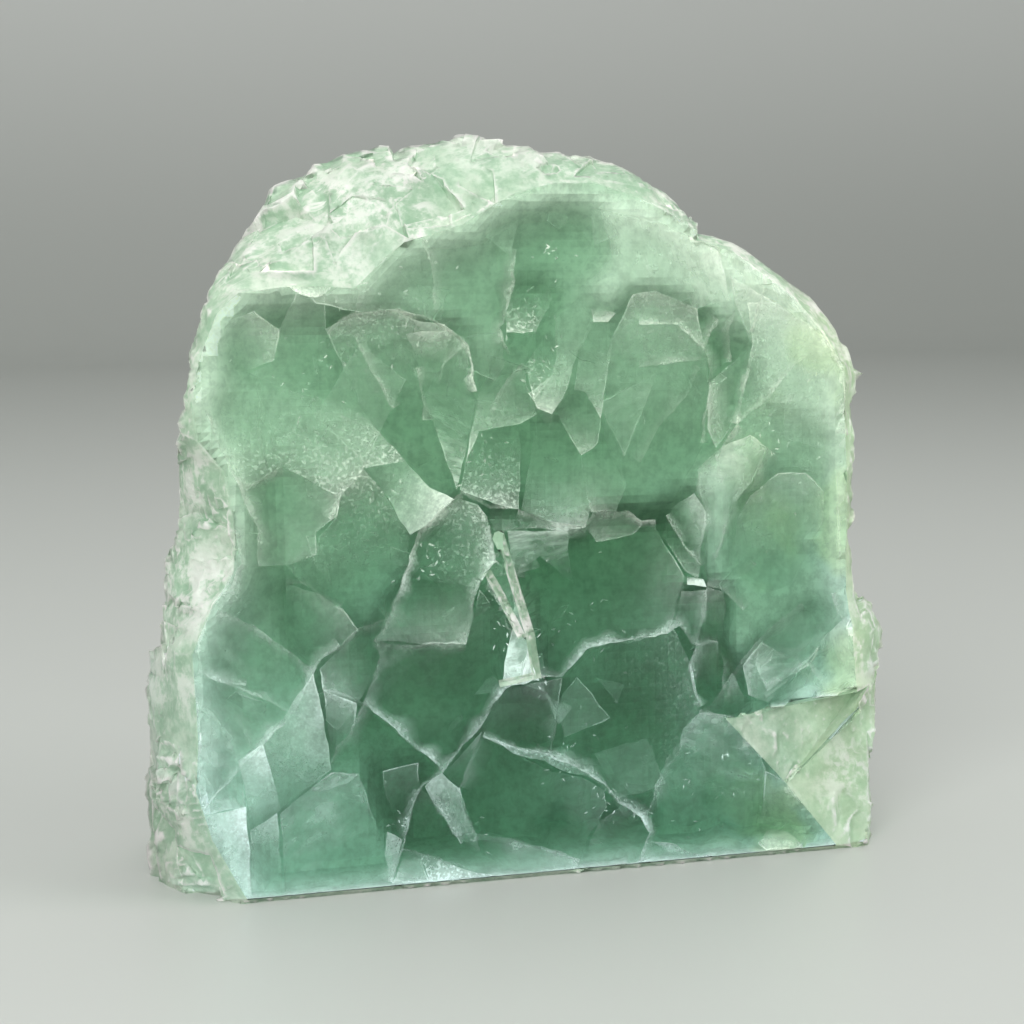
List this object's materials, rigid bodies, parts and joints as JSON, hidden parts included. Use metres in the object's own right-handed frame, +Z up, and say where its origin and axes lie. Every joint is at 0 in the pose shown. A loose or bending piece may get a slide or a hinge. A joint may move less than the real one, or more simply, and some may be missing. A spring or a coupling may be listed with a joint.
{
  "type": "fluorite freeform",
  "caption": "Green fluorite freeform: an upright translucent slab with one flat polished face, a rough broken rim and back, and a sawn foot to stand on.",
  "frame": {"origin": "middle of the stone's width and thickness, on the plane of its sawn foot", "axes": "+Z up, +X along the polished face to the right as it is looked at, +Y from the polished face to the rough back"},
  "size_m": [0.1296, 0.0438, 0.1237],
  "materials": {
    "fluorite": "polished"
  },
  "bodies": {
    "root": {"fluorite": "fluorite"}
  },
  "joints": []
}
